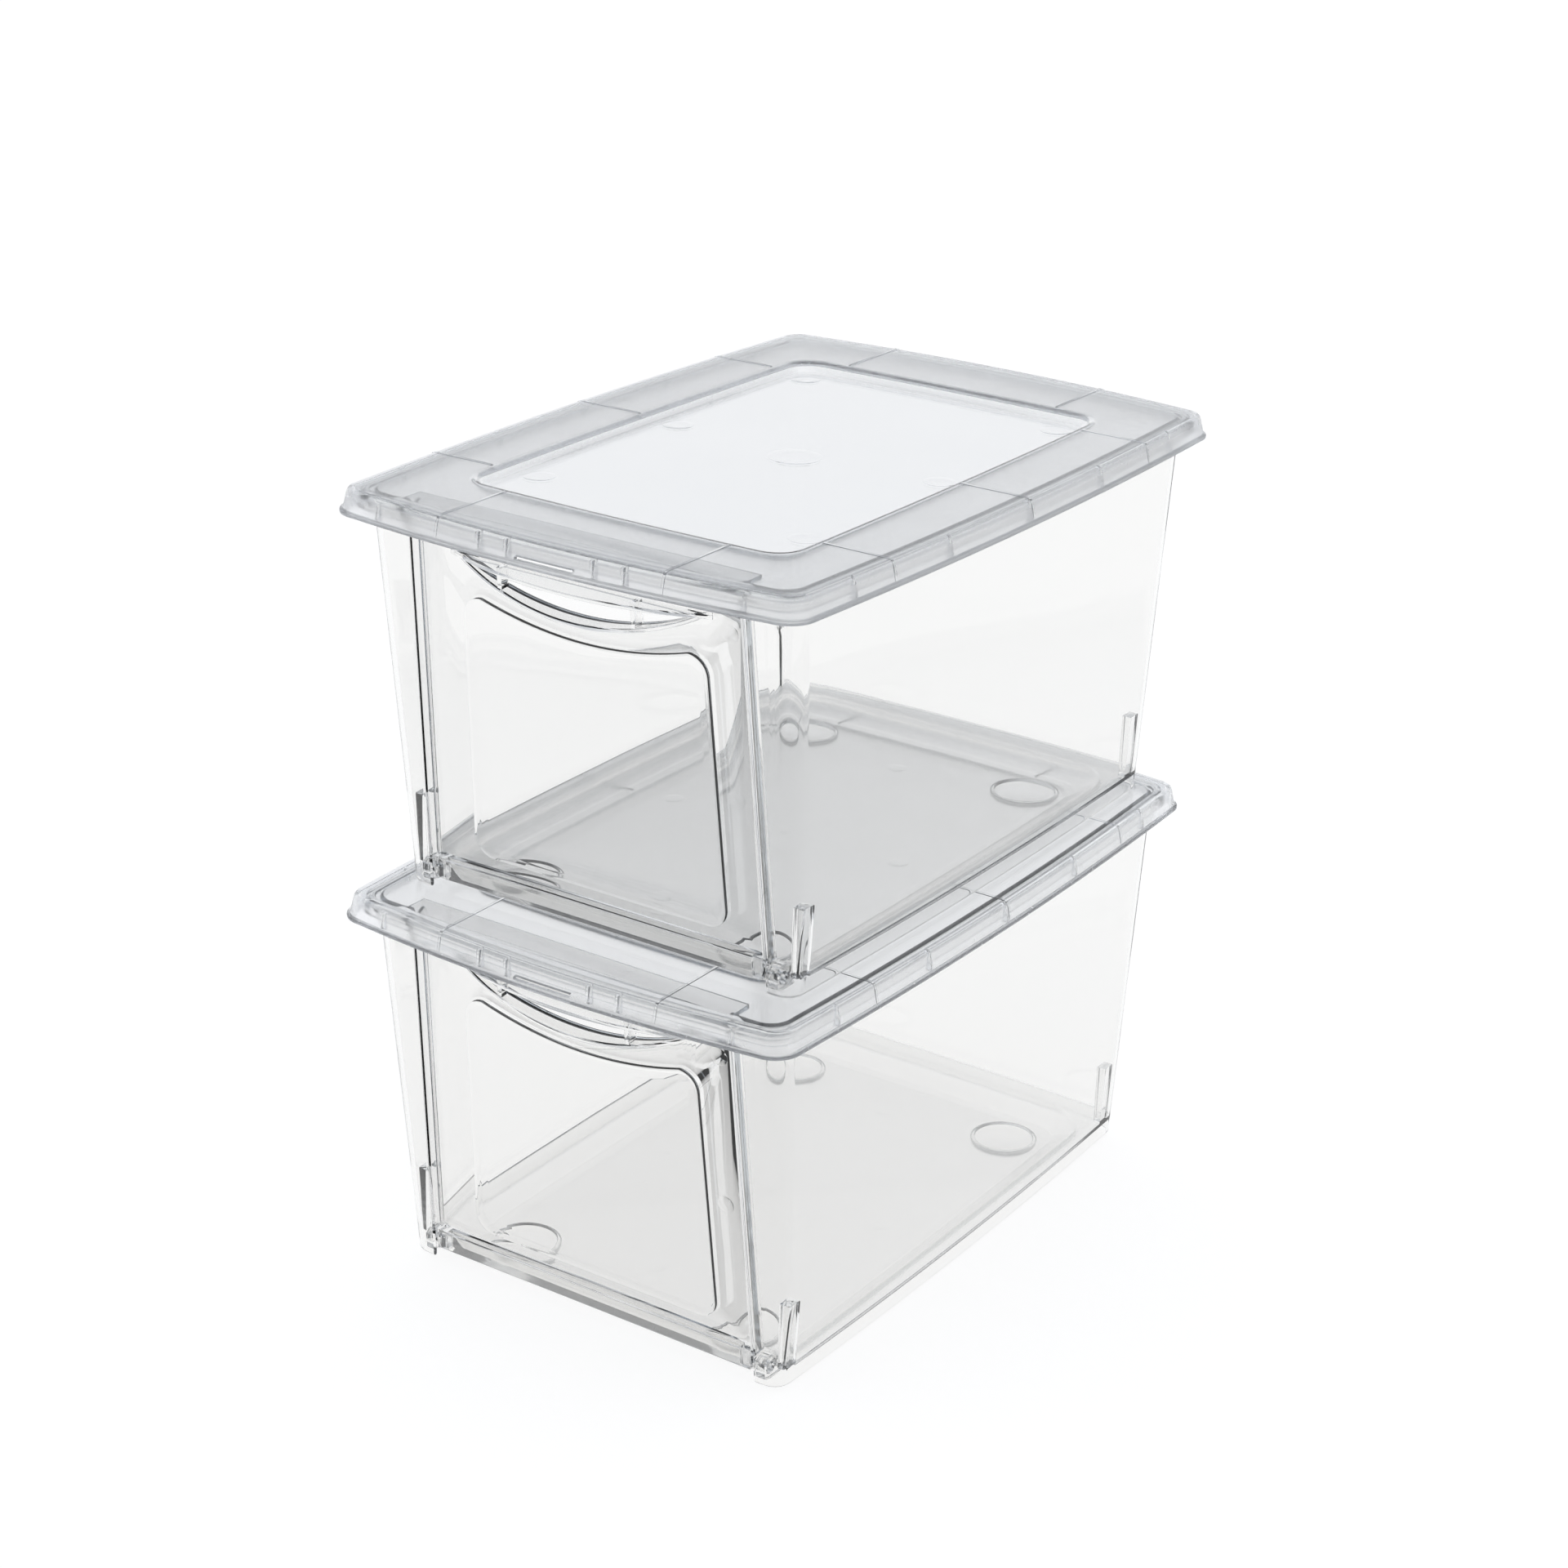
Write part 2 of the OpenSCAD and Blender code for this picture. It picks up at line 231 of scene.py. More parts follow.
def bowed_loop(half_x, front, back, bows, radius, front_radius=None):
    """Points round a rectangle with bowed sides, counterclockwise from the front of the right side.

    bows holds the side, front and back bows."""
    side, ahead, behind = bows
    mid, half_y = (front + back) / 2, (back - front) / 2
    radii = {1: radius, -1: radius if front_radius is None else front_radius}

    def side_x(y):
        return half_x + bow(y - mid, half_y, side)

    def end_y(x, way):
        return back + bow(x, half_x, behind) if way > 0 else front - bow(x, half_x, ahead)

    def corner(way):
        r = radii[way]
        y_in = mid + way * (half_y - r)
        cx, cy = side_x(y_in) - r, end_y(half_x - r, way) - way * r
        angles = [math.pi / 2 * i / CORNER_STEPS for i in range(1, CORNER_STEPS)]
        return [(cx + r * math.cos(a), cy + way * r * math.sin(a)) for a in angles]

    y0, y1 = front + radii[-1], back - radii[1]
    right = [(side_x(y0 + (y1 - y0) * i / SIDE_STEPS), y0 + (y1 - y0) * i / SIDE_STEPS)
             for i in range(SIDE_STEPS + 1)]

    def end(way):
        reach = half_x - radii[way]
        xs = [reach * (1 - 2 * i / END_STEPS) * way for i in range(END_STEPS + 1)]
        return [(x, end_y(x, way)) for x in xs]

    def mirrored(points):
        return [(-x, y) for x, y in reversed(points)]

    back_corner, front_corner = corner(1), corner(-1)
    return (right + back_corner + end(1) + mirrored(back_corner) + mirrored(right)
            + [(-x, y) for x, y in front_corner] + end(-1) + list(reversed(front_corner)))


def at_height(loop, z):
    return [(x, y, z) for x, y in loop]


def loft(name, rings, closed=False):
    """A closed mesh object through rings of points, capped at both ends or joined back to its first ring."""
    bm = bmesh.new()
    rows = [[bm.verts.new(Vector(p) / MM) for p in ring] for ring in rings]
    pairs = list(zip(rows, rows[1:])) + ([(rows[-1], rows[0])] if closed else [])
    for low, high in pairs:
        for i in range(len(low)):
            j = (i + 1) % len(low)
            bm.faces.new((low[i], low[j], high[j], high[i]))
    if not closed:
        bm.faces.new(list(reversed(rows[0])))
        bm.faces.new(rows[-1])
    bmesh.ops.recalc_face_normals(bm, faces=bm.faces)
    return from_bmesh(name, bm)


def from_bmesh(name, bm):
    mesh = bpy.data.meshes.new(name)
    bm.to_mesh(mesh)
    bm.free()
    made = bpy.data.objects.new(name, mesh)
    bpy.context.scene.collection.objects.link(made)
    return made


def block(name, low, high, rounding=0.3):
    """A box between two corners with softened edges."""
    bm = bmesh.new()
    bmesh.ops.create_cube(bm, size=1)
    size = Vector(high) - Vector(low)
    bmesh.ops.scale(bm, vec=size / MM, verts=bm.verts)
    bmesh.ops.translate(bm, vec=(Vector(low) + size / 2) / MM, verts=bm.verts)
    if rounding:
        bmesh.ops.bevel(bm, geom=bm.edges[:], offset=rounding / MM, segments=2, profile=0.5, affect="EDGES")
    return from_bmesh(name, bm)


def prism(name, outline, y0, y1, rounding=0.0):
    """A plate with an outline in X and Z, from y0 to y1, with softened edges."""
    bm = bmesh.new()
    face = bm.faces.new([bm.verts.new(Vector((x, y0, z)) / MM) for x, z in outline])
    moved = bmesh.ops.extrude_face_region(bm, geom=[face])["geom"]
    verts = [g for g in moved if isinstance(g, bmesh.types.BMVert)]
    bmesh.ops.translate(bm, vec=(0, (y1 - y0) / MM, 0), verts=verts)
    bmesh.ops.recalc_face_normals(bm, faces=bm.faces)
    if rounding:
        rims = [e for e in bm.edges if abs(e.verts[0].co.y - e.verts[1].co.y) < 1e-7]
        bmesh.ops.bevel(bm, geom=rims, offset=rounding / MM, segments=2, profile=0.5, affect="EDGES")
    return from_bmesh(name, bm)


def turned(name, profile, centre, axis="Z", steps=48):
    """A solid of revolution through (radius, height) points, from its first end to its last."""
    rings = []
    for radius, height in profile:
        angles = [2 * math.pi * i / steps for i in range(steps)]
        ring = [(radius * math.cos(a), radius * math.sin(a), height) for a in angles]
        if axis == "X":
            ring = [(z, x, y) for x, y, z in ring]
        rings.append([(x + centre[0], y + centre[1], z + centre[2]) for x, y, z in ring])
    return loft(name, rings)


def combine(base, parts, operation):
    """Adds the parts to the base, or cuts them out of it, and removes them."""
    for part in parts:
        step = base.modifiers.new(operation.lower(), "BOOLEAN")
        step.operation, step.object, step.solver = operation, part, "EXACT"
    bpy.context.view_layer.update()
    graph = bpy.context.evaluated_depsgraph_get()
    mesh = bpy.data.meshes.new_from_object(base.evaluated_get(graph))
    base.modifiers.clear()
    old, base.data = base.data, mesh
    bpy.data.meshes.remove(old)
    for part in parts:
        old = part.data
        bpy.data.objects.remove(part)
        bpy.data.meshes.remove(old)
    return base


def lean_angle(tub):
    """How far the posts and the door lean forward."""
    return math.atan((tub.foot_front - tub.top_front) / TUB_TOP)


def lean_forward(part, tub, front):
    """Leans a part that was drawn upright, and sets it back to the front that is given."""
    lean = Matrix.Rotation(lean_angle(tub), 4, "X")
    part.data.transform(Matrix.Translation((0, front / MM, 0)) @ lean)


def place_both(moulding, kind, material, sharp=32):
    """Sets a moulding in the lower bin and a copy of it in the upper, each riding on its own body."""
    mesh = moulding.data
    mesh.materials.clear()
    mesh.materials.append(material)
    bm = bmesh.new()
    bm.from_mesh(mesh)
    bmesh.ops.remove_doubles(bm, verts=bm.verts, dist=2e-6)
    bmesh.ops.dissolve_degenerate(bm, edges=bm.edges, dist=1e-6)
    bmesh.ops.triangulate(bm, faces=[f for f in bm.faces if len(f.verts) > 4])
    bm.to_mesh(mesh)
    bm.free()
    for face in mesh.polygons:
        face.use_smooth = True
        face.material_index = 0
    mesh.set_sharp_from_angle(angle=math.radians(sharp))
    for level in LEVELS:
        node = f"{level}_{kind}"
        copy = mesh.copy()
        copy.transform(Matrix.Translation((0, 0, foot_rim_z(level))))
        piece = bpy.data.objects.new(f"{node}_moulding", copy)
        bpy.context.scene.collection.objects.link(piece)
        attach(piece, node)
        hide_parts(node)
    bpy.data.objects.remove(moulding)
    bpy.data.meshes.remove(mesh)


# ---------------------------------------------------------------- materials

def plastic(name, tint, depth_colour, density, index, rough):
    """Clear plastic that darkens as light crosses more of it: the material and its shader."""
    made = bpy.data.materials.new(name)
    made.use_nodes = True
    nodes, links = made.node_tree.nodes, made.node_tree.links
    shader = nodes["Principled BSDF"]
    shader.inputs["Base Color"].default_value = (*tint, 1)
    shader.inputs["IOR"].default_value = index
    shader.inputs["Transmission Weight"].default_value = 1.0
    shader.inputs["Roughness"].default_value = rough
    fade = nodes.new("ShaderNodeVolumeAbsorption")
    fade.inputs["Color"].default_value = (*depth_colour, 1)
    fade.inputs["Density"].default_value = density
    links.new(fade.outputs["Volume"], nodes["Material Output"].inputs["Volume"])
    return made, shader


def flow_marks(material, shader, scale, strength, distance):
    """The faint waves that moulding leaves in a flat wall."""
    nodes, links = material.node_tree.nodes, material.node_tree.links
    where = nodes.new("ShaderNodeTexCoord")
    stretch = nodes.new("ShaderNodeMapping")
    stretch.inputs["Scale"].default_value = scale
    noise = nodes.new("ShaderNodeTexNoise")
    noise.inputs["Scale"].default_value = 1.0
    noise.inputs["Detail"].default_value = 1.5
    bump = nodes.new("ShaderNodeBump")
    bump.inputs["Strength"].default_value = strength
    bump.inputs["Distance"].default_value = distance
    links.new(where.outputs["Object"], stretch.inputs["Vector"])
    links.new(stretch.outputs["Vector"], noise.inputs["Vector"])
    links.new(noise.outputs["Fac"], bump.inputs["Height"])
    links.new(bump.outputs["Normal"], shader.inputs["Normal"])
    return bump


def clear_plastic(name, frosted_rough=None):
    """The tub's and the door's plastic, rougher where it is frosted."""
    look = bpy.context.scene.bin_finish
    made, shader = plastic(name, look.clear_tint, look.clear_depth, look.clear_density, look.index,
                           look.clear_rough)
    flow_marks(made, shader, (9, 9, 14), 0.25, 0.002)
    if frosted_rough is not None:
        frost_to(made, shader.inputs["Roughness"], look.clear_rough, frosted_rough, look.grain)
    return made


def frost_to(material, socket, clear, frosted, grain=0.0):
    """Drives a socket of the shader by how frosted each point of the piece is, with a fine grain or none."""
    nodes, links = material.node_tree.nodes, material.node_tree.links
    frost = nodes.new("ShaderNodeAttribute")
    frost.attribute_name = "frost"
    spread = nodes.new("ShaderNodeMapRange")
    spread.inputs["To Min"].default_value = clear
    spread.inputs["To Max"].default_value = frosted
    links.new(spread.outputs["Result"], socket)
    if not grain:
        links.new(frost.outputs["Fac"], spread.inputs["Value"])
        return
    where = nodes.new("ShaderNodeTexCoord")
    specks = nodes.new("ShaderNodeTexNoise")
    specks.inputs["Scale"].default_value = 420.0
    specks.inputs["Detail"].default_value = 3.0
    swing = nodes.new("ShaderNodeMapRange")
    swing.inputs["To Min"].default_value = 1.0 - grain
    swing.inputs["To Max"].default_value = 1.0 + grain
    both = nodes.new("ShaderNodeMath")
    both.operation = "MULTIPLY"
    links.new(where.outputs["Object"], specks.inputs["Vector"])
    links.new(specks.outputs["Fac"], swing.inputs["Value"])
    links.new(frost.outputs["Fac"], both.inputs[0])
    links.new(swing.outputs["Result"], both.inputs[1])
    links.new(both.outputs["Value"], spread.inputs["Value"])


def mark_frost(kind, share):
    """Stores on both bins' moulding how frosted each point is: share(level, x, y, z), in millimetres."""
    for level in LEVELS:
        mesh, rim = bpy.data.objects[f"{level}_{kind}_moulding"].data, foot_rim_z(level) * MM
        frost = mesh.attributes.new("frost", "FLOAT", "POINT")
        for vert, value in zip(mesh.vertices, frost.data):
            x, y, z = vert.co * MM
            value.value = min(max(share(level, x, y, z - rim), 0.0), 1.0)


# ---------------------------------------------------------------- lid, in millimetres over its bin's foot rim

def lid_loop(lid, inset, z):
    """The lid's outline, drawn in by an inset."""
    half_x = LID_HALF_X - lid.side_bow - inset
    half_y = LID_HALF_Y - lid.end_bow - inset
    bows = (lid.side_bow, lid.end_bow, lid.end_bow)
    return at_height(bowed_loop(half_x, -half_y, half_y, bows, max(lid.corner - min(inset, 6), 2)), z)


def panel_loop(lid, grow, z):
    """The sunk panel's outline, grown outward."""
    half_x, half_y = lid.panel_half_x + grow, lid.panel_half_y + grow
    return at_height(bowed_loop(half_x, -half_y, half_y, (1.5, 1.5, 1.5), lid.panel_corner + grow), z)


def lid_shell(lid):
    """The lid as one sheet: panel, frame and skirt above, and the same underneath."""
    top = BIN_HIGH
    foot = top - lid.skirt
    floor = top - lid.panel_depth
    # Each point of the section: inset from the lid's outline, or growth from the panel's, and height.
    outside = [(1.6, foot), (0.5, foot), (0.1, foot + 0.25), (0.0, foot + 0.7), (0.02, foot + 1.3),
               (0.25, foot + 1.75), (0.75, foot + 2.0), (1.15, foot + 2.35), (1.4, foot + 3.2),
               (2.1, foot + 6.2), (2.6, top - 1.9), (2.95, top - 1.05), (3.5, top - 0.4), (4.3, top - 0.08),
               (5.4, top), (8.0, top)]
    dip = [(4.0, top), (1.8, top), (0.9, top - 0.12), (0.2, top - 0.5), (-0.35, top - 1.2),
           (-1.5, floor + 0.9), (-1.9, floor + 0.35), (-2.5, floor + 0.08), (-3.4, floor), (-6.0, floor)]
    under_dip = [(-6.0, floor - lid.wall), (-1.6, floor - lid.wall), (-0.6, floor - lid.wall + 0.3),
                 (0.1, floor - lid.wall + 1.1), (1.0, top - lid.wall - 0.6), (1.7, top - lid.wall - 0.1),
                 (2.8, top - lid.wall), (4.0, top - lid.wall)]
    under = top - lid.wall
    inside = [(8.0, under), (6.4, under), (5.5, under - 0.15), (4.9, under - 0.8), (4.4, under - 2.2),
              (3.0, foot + 1.6), (2.7, foot + 0.3)]
    rings = [panel_loop(lid, grow, z) for grow, z in reversed(dip)]
    rings += [lid_loop(lid, inset, z) for inset, z in reversed(outside)]
    rings += [lid_loop(lid, inset, z) for inset, z in reversed(inside)]
    rings += [panel_loop(lid, grow, z) for grow, z in reversed(under_dip)]
    return loft("lid", rings)


def ridge_outline(lid, start, end):
    """Side view of a ridge from the panel, over the frame and down the skirt, as (outward, up)."""
    top = BIN_HIGH
    foot = top - lid.skirt + 2.4
    return [(start, top - 0.6), (start, top + 0.1), (start + 0.8, top + lid.ridge),
            (end - 5.2, top + lid.ridge), (end - 3.4, top - 0.1), (end - 2.0, top - 2.6), (end - 1.0, foot),
            (end - 2.4, foot), (end - 4.6, top - 1.4), (end - 5.6, top - 0.6)]


def ridge(outline, at, way, along_x):
    """A thin ridge that runs outward along X or Y, at a place on the other axis."""
    bm = bmesh.new()
    sheets = []
    for side in (at - 0.55, at + 0.55):
        points = [(way * u, side, z) if along_x else (side, way * u, z) for u, z in outline]
        sheets.append([bm.verts.new(Vector(p) / MM) for p in points])
    first, second = sheets
    for i in range(len(outline)):
        j = (i + 1) % len(outline)
        bm.faces.new((first[i], first[j], second[j], second[i]))
    bm.faces.new(first)
    bm.faces.new(list(reversed(second)))
    bmesh.ops.recalc_face_normals(bm, faces=bm.faces)
    return from_bmesh("ridge", bm)


def lid_ridges(lid):
    """Thin ridges that run from the panel over the frame and down the skirt."""
    half_x, half_y = LID_HALF_X - lid.side_bow, LID_HALF_Y - lid.end_bow
    parts = []
    for x in RIDGES_ON_ENDS:
        outline = ridge_outline(lid, lid.panel_half_y + 3.2, half_y + bow(x, half_x, lid.end_bow))
        parts += [ridge(outline, x, way, False) for way in (-1, 1)]
    for y in RIDGES_ON_SIDES:
        outline = ridge_outline(lid, lid.panel_half_x + 3.2, half_x + bow(y, half_y, lid.side_bow))
        parts += [ridge(outline, y, way, True) for way in (-1, 1)]
    return parts


def lid_ribs(lid):
    """Stiffening ribs between the skirt and the frame's underside."""
    top, parts = BIN_HIGH, []
    half_x, half_y = LID_HALF_X - lid.side_bow, LID_HALF_Y - lid.end_bow
    for way in (-1, 1):
        for y in SKIRT_RIBS_ON_SIDES:
            x = half_x - 4.6 + bow(y, half_y, lid.side_bow)
            a, b = sorted((way * (x - 1.25), way * (x + 1.25)))
            parts.append(block("rib", (a, y - 0.8, top - 9.8), (b, y + 0.8, top - 1.2), 0.25))
        for x in SKIRT_RIBS_ON_ENDS:
            y = half_y - 4.4 + bow(x, half_x, lid.end_bow)
            a, b = sorted((way * (y - 1.0), way * (y + 1.5)))
            parts.append(block("rib", (x - 0.8, a, top - 9.8), (x + 0.8, b, top - 1.2), 0.25))
    return parts


def lid_latch(lid):
    """The walls of the two latch pockets behind the front skirt, and the slot cut between them."""
    top = BIN_HIGH
    half_x, half_y = LID_HALF_X - lid.side_bow, LID_HALF_Y - lid.end_bow
    walls = []
    for x in LATCH_WALLS:
        front = -(half_y + bow(x, half_x, lid.end_bow))
        low, high = (x - 0.7, front + 1.2, top - 9.6), (x + 0.7, front + 5.6, top - 1.2)
        walls.append(block("wall", low, high, 0.25))
    front = -(half_y + lid.end_bow)
    return walls, block("slot", (-14, front - 4, top - 8.4), (14, front + 4.4, top - 7.0), 0.3)


def ejector_marks(centres, radius, z, high=0.07):
    """Very low round pads, as ejector pins leave."""
    profile = [(radius, -0.4), (radius, high * 0.3), (radius - 0.5, high), (radius * 0.5, high)]
    return [turned("mark", profile, (x, y, z), steps=40) for x, y in centres]


class BIN_OT_make_lids(bpy.types.Operator):
    """Make the two frosted lids, each with a clear sunk panel"""

    bl_idname = "bin.make_lids"
    bl_label = "Make Lids"

    def execute(self, context):
        lid = in_mm(context.scene.bin_lid)
        shell = lid_shell(lid)
        latch_walls, slot = lid_latch(lid)
        floor = BIN_HIGH - lid.panel_depth
        marks = ejector_marks(LID_MARKS, 7, floor) + ejector_marks([(0, 0)], 11.5, floor)
        combine(shell, lid_ribs(lid) + latch_walls + lid_ridges(lid) + marks, "UNION")
        combine(shell, [slot], "DIFFERENCE")
        made = self.finish_of_lid(context)
        place_both(shell, "lid", made)
        look = context.scene.bin_finish
        frost = {"lower": look.lower_frost, "upper": 1.0}

        def share(level, x, y, z):
            """Full on the skirt, less on the frame, least on the frame's top, and none in the panel."""
            on_frame, on_top = z > BIN_HIGH - lid.wall - 0.7, z > BIN_HIGH - 0.9
            full = look.frame_frost * (look.satin if on_top else 1.0) if on_frame else 1.0
            past_panel = max(abs(x) - lid.panel_half_x, abs(y) - lid.panel_half_y)
            return frost[level] * full * min((past_panel + 1.6) / 1.2, 1.0)

        mark_frost("lid", share)
        return {"FINISHED"}

    def finish_of_lid(self, context):
        """Clear in the panel, and frosted and a little milky on the frame and the skirt."""
        look = context.scene.bin_finish
        made, shader = plastic("lid_plastic", look.frost_tint, look.frost_depth, look.frost_density,
                               look.index, look.frost_rough)
        frost_to(made, shader.inputs["Roughness"], look.clear_rough, look.frost_rough, look.grain)
        frost_to(made, shader.inputs["Transmission Weight"], 1.0, 1.0 - look.milk)
        flow_marks(made, shader, (11, 11, 11), 0.2, 0.002)
        return made


# ---------------------------------------------------------------- tub, in millimetres over its foot rim

def tub_loop_sizes(tub, z, inset):
    """Half width, front, back, bows and corner radius of the tub at a height."""
    k = z / TUB_TOP

    def mix(a, b):
        return a + (b - a) * k

    half_x = mix(tub.foot_half_x, tub.top_half_x) - inset
    front, back = mix(tub.foot_front, tub.top_front) + inset, mix(tub.foot_back, tub.top_back) - inset
    return half_x, front, back, (3 + 1.5 * k, 0.5, 2 + 4 * k), max(8.5 + 3 * k - inset, 2)


def slot_half_x(door, z):
    """Half the width of the gap between the posts at a height."""
    k = (z - 3) / (door.top - 3)
    return door.low_half_x + 1.6 + (door.top_half_x - door.low_half_x) * min(max(k, -0.02), 1.05)


def wall_path(tub, door, z, inset):
    """The tub's outline from the right post round the back to the left post."""
    half_x, front, back, bows, radius = tub_loop_sizes(tub, z, inset)
    loop = bowed_loop(half_x, front, back, bows, radius)
    first_end = SIDE_STEPS + 1 + CORNER_STEPS - 1
    left = first_end + END_STEPS + 1 + CORNER_STEPS - 1
    last_front = left + SIDE_STEPS + 1 + CORNER_STEPS - 1
    start, reach = slot_half_x(door, z), half_x - radius
    post = [(start + (reach - start) * i / 3, front - bow(start, half_x, bows[1])) for i in range(3)]
    post += loop[last_front + END_STEPS:]
    return post + loop[:left] + [(-x, y) for x, y in reversed(post + loop[:SIDE_STEPS + 1])]


def tub_walls(tub, door):
    """The side and back walls with the two front posts, as one thick sheet."""
    top = TUB_TOP - 1.0
    levels = [0.0, 0.5, 1.2, 3, 9] + [9 + (top - 9) * i / 10 for i in range(1, 11)]
    rounding = {0.0: 0.7, 0.5: 0.2, 1.2: 0.0}
    outer = [at_height(wall_path(tub, door, z, rounding.get(z, 0.0)), z) for z in levels]
    inner = [at_height(wall_path(tub, door, z, tub.wall - rounding.get(z, 0.0) * 0.6), z) for z in levels]
    bm = bmesh.new()
    grids = [[[bm.verts.new(Vector(p) / MM) for p in row] for row in sheet] for sheet in (outer, inner)]
    n = len(outer[0])
    for grid in grids:
        for low, high in zip(grid, grid[1:]):
            for i in range(n - 1):
                bm.faces.new((low[i], low[i + 1], high[i + 1], high[i]))
    outside, inside = grids
    for row in (0, -1):
        for i in range(n - 1):
            bm.faces.new((outside[row][i], outside[row][i + 1], inside[row][i + 1], inside[row][i]))
    for column in (0, -1):
        for k in range(len(levels) - 1):
            bm.faces.new((outside[k][column], outside[k + 1][column],
                          inside[k + 1][column], inside[k][column]))
    bmesh.ops.recalc_face_normals(bm, faces=bm.faces)
    return from_bmesh("tub", bm)


def tub_floor(tub):
    """The floor: a raised border, a sloped step and a flat middle."""
    def ring(half_x, front, back, radius, z, bows=(1.5, 0.0, 1.5), front_radius=2.0):
        return at_height(bowed_loop(half_x, front, back, bows, radius, front_radius), z)

    def border(z):
        half_x, _, back, bows, radius = tub_loop_sizes(tub, tub.border, 1.0)
        return ring(half_x, -125, back, radius, z, (bows[0], 0.0, bows[2]), 1.0)

    top = tub.border
    # Each ring: half width, front, back, corner radius and height.
    upper = [ring(74, -117, 119, 11, 2.3), ring(78.4, -121.4, 123.4, 13.4, 2.3),
             ring(79.4, -122.2, 124.4, 14.4, 2.6), ring(80.2, -122.3, 125.3, 15.2, 3.2),
             ring(88.6, -122.4, 133.6, 23.4, top - 0.7), ring(89.6, -122.6, 134.6, 24.4, top - 0.15),
             ring(90.6, -122.9, 135.6, 25.4, top)]
    under = [ring(92.0, -124.4, 137, 26.6, top - 2), ring(90.6, -124.6, 135.6, 25.4, top - 2.4),
             ring(80.8, -124.6, 126, 16, 0.6), ring(80.0, -124.2, 125.4, 15.4, 0.3),
             ring(74, -117, 119, 11, 0.3)]
    return loft("floor", upper + [border(top), border(top - 2)] + under)


def tub_rim(tub):
    """The rolled rim that the lid snaps over, with a wider rail over the door."""
    top = TUB_TOP

    def ring(grow, z):
        return at_height(bowed_loop(101 + grow, -153.6 - grow, 153.6 + grow,
                                    (4.4 + 0.14 * grow, 6.6 + 0.23 * grow, 6 + 0.36 * grow), 9.5), z)

    # Each point of the section: growth from the rim's innermost outline, and height.
    section = [(0, top - 5), (0, top - 0.6), (0.25, top - 0.15), (0.8, top), (3.7, top), (4.2, top - 0.2),
               (4.4, top - 0.7), (4.4, top - 5.4), (4.1, top - 5.9), (3.3, top - 5.9), (3.0, top - 5.4),
               (3.0, top - 2.2), (2.6, top - 1.7), (1.9, top - 1.7), (1.7, top - 2.2), (1.7, top - 5)]
    rim = loft("rim", [ring(grow, z) for grow, z in section], closed=True)
    rail = block("rail", (-82, -157.5, top - 2.2), (82, -144.5, top - 0.02), 0.4)
    return [rim, rail]


def post_returns(tub, door):
    """The strips behind the posts that stop the door's edges."""
    parts = []
    for way in (-1, 1):
        low, high = door.low_half_x + 0.5, door.top_half_x + 0.5
        outline = [(way * low, 13.5), (way * (low + 1.6), 13.5), (way * (high + 1.6), 167), (way * high, 167)]
        part = prism("return", outline, -0.4, 7.5, 0.25)
        lean_forward(part, tub, tub.foot_front)
        parts.append(part)
    return parts


def hinge_y(tub, door):
    """How far forward the hinge lies."""
    return tub.foot_front + door.setback - door.hinge_z * math.tan(lean_angle(tub)) + 0.8


class BIN_OT_make_tubs(bpy.types.Operator):
    """Make the two clear tubs with their floors, feet, ribs, rims and hinge lugs"""

    bl_idname = "bin.make_tubs"
    bl_label = "Make Tubs"

    def execute(self, context):
        tub, door = in_mm(context.scene.bin_tub), in_mm(context.scene.bin_door)
        walls = tub_walls(tub, door)
        parts = [tub_floor(tub)] + tub_rim(tub) + post_returns(tub, door)
        r, drop = tub.foot_radius, tub.foot_drop
        foot = [(r - 0.9, -drop), (r - 0.3, -drop + 0.25), (r, -drop + 0.9), (r, 1.2)]
        well = [(r - 2.4, 0.0), (r - 1.95, 0.15), (r - 1.8, 0.6), (r - 1.8, 2.0), (r - 1.5, 2.35),
                (r - 1.2, 2.6)]
        parts += [turned("foot", foot, (x, y, 0), steps=64) for x, y in FEET]
        for way in (-1, 1):
            a, b = sorted((way * 92.2, way * 97.4))
            parts += [block("rib", (a, y, tub.border - 1), (b, y + 7, tub.border + 29), 0.4)
                      for y in (-132, 132)]
            parts.append(self.lug(tub, door, way))
        combine(walls, parts, "UNION")
        wells = [turned("well", well, (x, y, 0), steps=64) for x, y in FEET]
        sockets = [turned("socket", [(door.pin + 0.06, -4), (door.pin + 0.06, 4)],
                          (way * LUG_X, hinge_y(tub, door), door.hinge_z), "X") for way in (-1, 1)]
        combine(walls, wells + sockets, "DIFFERENCE")
        combine(walls, ejector_marks(FLOOR_MARKS, 4.5, 2.3, 0.05), "UNION")
        place_both(walls, "tub", clear_plastic("tub_plastic", context.scene.bin_finish.floor_rough))

        def share(level, x, y, z):
            """Full on the floor, and gone within a short way of the walls, the door and the border's top."""
            return min((tub.border + 1.0 - z) * 2, (93.5 - abs(x)) * 2, (y + 125) * 2, (143 - y) * 0.5)

        mark_frost("tub", share)
        return {"FINISHED"}

    def lug(self, tub, door, way):
        """A hinge lug with the web that ties it to the floor."""
        y, z = hinge_y(tub, door), door.hinge_z
        profile = [(5.1, -2.1), (5.4, -1.8), (5.4, 1.8), (5.1, 2.1)]
        knuckle = turned("lug", profile, (way * LUG_X, y, z), "X")
        web = block("web", (way * LUG_X - 2.1, y, z - 5.4), (way * LUG_X + 2.1, y + 8, z + 3.6), 0.25)
        return combine(knuckle, [web], "UNION")


# ---------------------------------------------------------------- door, drawn upright and then leaned

